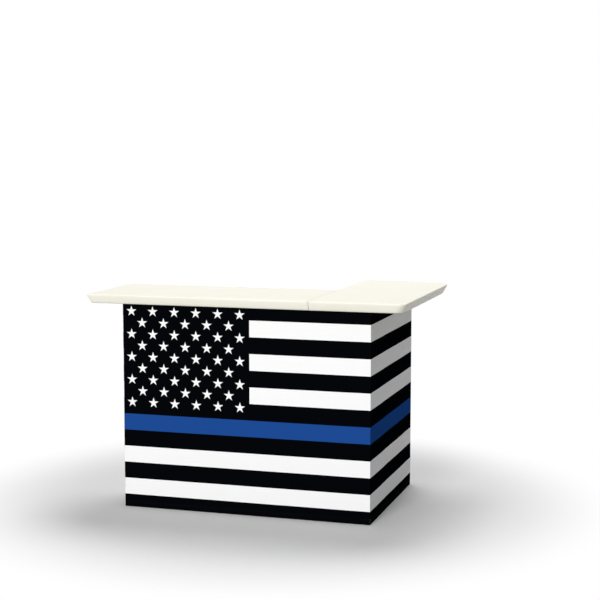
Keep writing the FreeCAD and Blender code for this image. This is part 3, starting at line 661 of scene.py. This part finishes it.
def board(node):
    """Moulded shelf board: a low lip round a sunken floor with treads along it."""
    low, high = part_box(node)
    rings = [ring(low[0] + inset * MM, high[0] - inset * MM, low[1] + inset * MM,
                  high[1] - inset * MM, high[2] - drop * MM, [radius * MM] * 4)
             for inset, drop, radius in BOARD_RIM]
    piece = new_piece(node + "_board", shell(node, rings), BOARD, node)
    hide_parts(node)

    inset, drop, _ = BOARD_RIM[0]
    long_axis = 0 if high[0] - low[0] > high[1] - low[1] else 1
    floor_z = high[2] - drop * MM
    middle_x, middle_y = (low[0] + high[0]) / 2, (low[1] + high[1]) / 2
    margin = inset * MM + TREAD_MARGIN
    half_long = (high[long_axis] - low[long_axis]) / 2 - margin
    room = high[1 - long_axis] - low[1 - long_axis] - 2 * margin
    count = int(room / TREAD_PITCH)
    first = -(count - 1) / 2 * TREAD_PITCH
    tread = []
    for edge, rise in TREAD_SECTION:
        half_x, half_y = half_long - edge, TREAD / 2 - edge
        if long_axis:
            half_x, half_y = half_y, half_x
        x = middle_x + (first if long_axis else 0)
        y = middle_y + (0 if long_axis else first)
        tread.append(ring(x - half_x, x + half_x, y - half_y, y + half_y, floor_z + rise,
                          [TREAD / 2 - edge - TREAD_END] * 4))
    step = (TREAD_PITCH, 0, 0) if long_axis else (0, TREAD_PITCH, 0)
    label = node + "_treads"
    mesh = grown(shell(label, tread), REPEATS, Count=count, Step=step, Material=BOARD)
    new_piece(label, mesh, None, node)


for node in ("front_upper_shelf", "front_lower_shelf", "return_upper_shelf",
             "return_lower_shelf"):
    board(node)


# Cloth skirt

class Run:
    """Line of the skirt on the ground: straight sides with a small round fold between.

    corners are points in plan, anticlockwise round the object. start is the print's place
    at the first one, and held lists the places along the line where hook tape holds the
    cloth.
    """

    def __init__(self, corners, start, held):
        self.points = []
        sides = list(zip(corners, corners[1:]))
        for number, (a, b) in enumerate(sides):
            a, b = Vector(a), Vector(b)
            forward = (b - a).normalized()
            outward = Vector((forward.y, -forward.x))
            first = FOLD_RADIUS if number else 0
            last = FOLD_RADIUS if number < len(sides) - 1 else 0
            length = (b - a).length - first - last
            steps = max(1, round(length / COLUMN))
            for step in range(steps + 1):
                self.points.append((a + forward * (first + length * step / steps), outward))
            if last:
                centre = b - outward * FOLD_RADIUS - forward * FOLD_RADIUS
                for step in range(1, FOLD_STEPS):
                    angle = math.pi / 2 * step / FOLD_STEPS
                    normal = outward * math.cos(angle) + forward * math.sin(angle)
                    self.points.append((centre + normal * FOLD_RADIUS, normal))
        self.places = [start]
        for (a, _), (b, _) in zip(self.points, self.points[1:]):
            self.places.append(self.places[-1] + (b - a).length)
        self.held = held

    def length(self):
        """Length of the cloth from end to end."""
        return self.places[-1] - self.places[0]

    def slack(self, place, z):
        """How far the cloth stands out between the places that hold it."""
        for a, b in zip(self.held, self.held[1:]):
            if a < place < b:
                free = math.sin(math.pi * (place - a) / (b - a))
                waves = MEAN_SLACK
                for along, up, level, share in (BROAD_WAVES, FINE_WAVES):
                    waves += share * noise.noise(Vector((place * along, z * up, level)))
                return free * SLACK * max(0, waves)
        return 0


def cloth(name, run, low, high, layer, thick, materials):
    """Sheet along a run, its outer face layer behind the skirt's outer face.

    Its UV map holds the place along the run and the height, both in metres.
    """
    rows = max(1, round((high - low) / ROW))
    work = bmesh.new()
    uv = work.loops.layers.uv.new("cloth")
    grids = []
    for back in (layer, layer + thick):
        grid = []
        for (point, outward), place in zip(run.points, run.places):
            column = []
            for row in range(rows + 1):
                z = low + (high - low) * row / rows
                at = point - outward * (back - run.slack(place, z))
                column.append((work.verts.new((at.x, at.y, z)), place, z))
            grid.append(column)
        grids.append(grid)
    outer, inner = grids
    last = len(outer) - 1

    def quad(corners, number):
        """Face between four corners, with the number of its material."""
        face = work.faces.new([corner[0] for corner in corners])
        face.material_index = number
        for loop, corner in zip(face.loops, corners):
            loop[uv].uv = corner[1:]

    for c in range(last):
        for r in range(rows):
            quad((outer[c][r], outer[c + 1][r], outer[c + 1][r + 1], outer[c][r + 1]), 0)
            quad((inner[c][r], inner[c][r + 1], inner[c + 1][r + 1], inner[c + 1][r]), 1)
        quad((outer[c][0], inner[c][0], inner[c + 1][0], outer[c + 1][0]), 0)
        quad((outer[c][rows], outer[c + 1][rows], inner[c + 1][rows], inner[c][rows]), 0)
    for r in range(rows):
        quad((outer[0][r], outer[0][r + 1], inner[0][r + 1], inner[0][r]), 0)
        quad((outer[last][r], inner[last][r], inner[last][r + 1], outer[last][r + 1]), 0)
    bmesh.ops.recalc_face_normals(work, faces=work.faces)
    mesh = bpy.data.meshes.new(name)
    work.to_mesh(mesh)
    work.free()
    for material in materials:
        mesh.materials.append(material)
    mesh.shade_smooth()
    mesh.set_sharp_from_angle(angle=CLOTH_CREASE)
    return mesh


def skirt(name, body, run, stands_for):
    """One piece of the skirt: its sheet, a hem at each edge, and the seams' stitches."""
    low, high = FLOOR_GAP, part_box(stands_for[0])[1][2]
    sheet = new_piece(name, cloth(name, run, low, high, 0, CLOTH, (PRINT, BACK)), None, body)
    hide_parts(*stands_for)
    for label, start, end in (("lower_hem", low, low + HEM_HEIGHT),
                              ("upper_hem", high - TOP_HEM, high)):
        label = f"{name}_{label}"
        mesh = cloth(label, run, start, end, CLOTH, CLOTH, (BACK, BACK))
        new_piece(label, mesh, None, body)
    rows = []
    seams = [low + HEM_HEIGHT - drop for drop in HEM_SEAMS] + [high - TOP_HEM + TOP_SEAM]
    for height in seams:
        for layer in (0, 2 * CLOTH):
            rows.append([(*(point - outward * (layer - run.slack(place, height))), height)
                         for (point, outward), place in zip(run.points, run.places)])
    stitches = beads(f"{name}_stitches", rows, body, STITCH_PITCH, STITCH, STITCH_TILT,
                     THREAD)
    run.length()


def middle(node, axis):
    """A CAD node's middle along one axis."""
    low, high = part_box(node)
    return (low[axis] + high[axis]) / 2


(skirt_left, skirt_front, _), (skirt_right, _, _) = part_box("front_skirt_panel")
left_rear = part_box("left_skirt_panel")[1][1]
right_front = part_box("right_skirt_panel")[0][1]
(end_left, _, _), (_, end_rear, _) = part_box("end_skirt_panel")
front_run = Run([(skirt_left, left_rear), (skirt_left, skirt_front),
                 (skirt_right, skirt_front)], skirt_front - left_rear,
                [skirt_front - middle(post, 1)
                 for post in ("left_rear_post", "left_front_post")]
                + [middle(post, 0) - skirt_left
                   for post in ("left_front_post", "mid_front_post", "corner_front_left_post",
                                "corner_front_right_post")])
around = skirt_right - skirt_left
side_run = Run([(skirt_right, right_front), (skirt_right, end_rear),
                (end_left, end_rear)], around + right_front - skirt_front,
               [around + middle(post, 1) - skirt_front
                for post in ("corner_front_right_post", "corner_rear_right_post",
                             "return_outer_post")]
               + [around + end_rear - skirt_front + skirt_right - middle(post, 0)
                  for post in ("return_outer_post", "return_inner_post")])
skirt("front_cloth", "front_skirt", front_run, ("front_skirt_panel", "left_skirt_panel"))
skirt("side_cloth", "side_skirt", side_run, ("right_skirt_panel", "end_skirt_panel"))


# Weld beads where the rails meet their posts

def weld_path(centre, axis, half):
    """Path round a rail's end, below its top face: the weld is flush where boards lie."""
    corners = []
    upper = half - WELD_BELOW_TOP
    for a, b in ((-half, upper), (-half, -half), (half, -half), (half, upper)):
        offset = (0, a, b) if axis == 0 else (a, 0, b)
        corners.append(tuple(c + o for c, o in zip(centre, offset)))
    return corners


# Rails of each body, each with the axis that it runs along: 0 to the right, 1 to the rear
RAILS = {"root": (("corner_left_rails", 1), ("corner_right_rails", 1),
                  ("corner_front_rails", 0), ("corner_rear_rails", 0)),
         "mid_frame": (("mid_rails", 1),), "left_frame": (("left_rails", 1),),
         "return_end_frame": (("return_end_rails", 0),)}
for body, rails in RAILS.items():
    welds = []
    for node, axis in rails:
        low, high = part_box(node)
        half = (high[1 - axis] - low[1 - axis]) / 2
        # A rail's top is a height that has another one just its own depth below
        heights = sorted({round(vert.co.z, 4) for vert in frame["nodes"][node].data.vertices})
        tops = [z for z in heights if round(z - 2 * half, 4) in heights]
        for top in tops:
            for end in (low[axis], high[axis]):
                centre = [0, 0, top - half]
                centre[axis] = end
                centre[1 - axis] = (low[1 - axis] + high[1 - axis]) / 2
                welds.append(weld_path(centre, axis, half))
    beads(f"{body}_welds", welds, body, WELD_PITCH, WELD, WELD_TILT, STEEL)


# Floor, light and camera

def seen(tree):
    """1 for rays from the camera, off gloss or through glass, and 0 for the rest."""
    rays = add(tree, "ShaderNodeLightPath")
    plain = add(tree, "ShaderNodeMath", {0: rays.outputs["Is Camera Ray"],
                                         1: rays.outputs["Is Glossy Ray"]},
                operation="MAXIMUM")
    every = add(tree, "ShaderNodeMath", {0: plain.outputs[0],
                                         1: rays.outputs["Is Transmission Ray"]},
                operation="MAXIMUM")
    return every.outputs[0]


def floor():
    """Pale floor that keeps the object's shadow and turns white away from the object."""
    work = bmesh.new()
    bmesh.ops.create_circle(work, cap_ends=True, segments=FLOOR_SIDES,
                            radius=FLOOR_RADIUS)
    mesh = bpy.data.meshes.new("floor")
    work.to_mesh(mesh)
    work.free()
    piece = bpy.data.objects.new("floor", mesh)
    bpy.context.scene.collection.objects.link(piece)
    made = bpy.data.materials.new("studio_floor")
    made.use_nodes = True
    tree = made.node_tree
    tree.nodes.clear()
    place = add(tree, "ShaderNodeTexCoord").outputs["Object"]
    far = add(tree, "ShaderNodeVectorMath", {0: place}, operation="LENGTH")
    edge = add(tree, "ShaderNodeMapRange", {"Value": far.outputs["Value"],
                                            "From Min": FLOOR_FADE[0],
                                            "From Max": FLOOR_FADE[1]},
               interpolation_type="SMOOTHSTEP")
    matt = add(tree, "ShaderNodeBsdfDiffuse", {"Color": linear(FLOOR_LIT)})
    pale = add(tree, "ShaderNodeBsdfDiffuse", {"Color": linear(FLOOR_SEEN)})
    glow = add(tree, "ShaderNodeEmission", {"Color": linear(WHITE), "Strength": FLOOR_GLOW})
    shown = add(tree, "ShaderNodeAddShader", {0: pale.outputs[0], 1: glow.outputs[0]})
    white = add(tree, "ShaderNodeEmission", {"Color": linear(WHITE), "Strength": 1})
    fading = add(tree, "ShaderNodeMixShader", {0: edge.outputs["Result"], 1: shown.outputs[0],
                                               2: white.outputs[0]})
    both = add(tree, "ShaderNodeMixShader", {0: seen(tree), 1: matt.outputs[0],
                                             2: fading.outputs[0]})
    add(tree, "ShaderNodeOutputMaterial", {"Surface": both.outputs[0]})
    mesh.materials.append(made)


def surroundings():
    """Plain white world: a soft level on the object, and white where the camera sees it."""
    world = bpy.data.worlds.new("studio")
    bpy.context.scene.world = world
    world.use_nodes = True
    tree = world.node_tree
    tree.nodes.clear()
    soft = add(tree, "ShaderNodeBackground", {"Color": linear(WHITE), "Strength": SOFT_LIGHT})
    white = add(tree, "ShaderNodeBackground", {"Color": linear(WHITE), "Strength": 1})
    both = add(tree, "ShaderNodeMixShader", {0: seen(tree), 1: soft.outputs[0],
                                             2: white.outputs[0]})
    add(tree, "ShaderNodeOutputWorld", {"Surface": both.outputs[0]})


floor()
surroundings()
for name, place, aim, width, power in LAMPS:
    light = bpy.data.lights.new(name, "AREA")
    light.shape = "DISK"
    light.size = width
    light.energy = power
    holder = bpy.data.objects.new(name, light)
    holder.location = place
    holder.rotation_euler = (Vector(aim) - Vector(place)).to_track_quat("-Z", "Y").to_euler()
    bpy.context.scene.collection.objects.link(holder)

lens = bpy.data.cameras.new("camera")
lens.lens = LENS
lens.sensor_width = SENSOR
camera = bpy.data.objects.new("camera", lens)
camera.location = CAMERA_PLACE
camera.rotation_euler = (math.radians(90 - CAMERA_PITCH), 0, math.radians(CAMERA_YAW))
bpy.context.scene.collection.objects.link(camera)
bpy.context.scene.camera = camera
bpy.context.scene.view_settings.view_transform = "Standard"
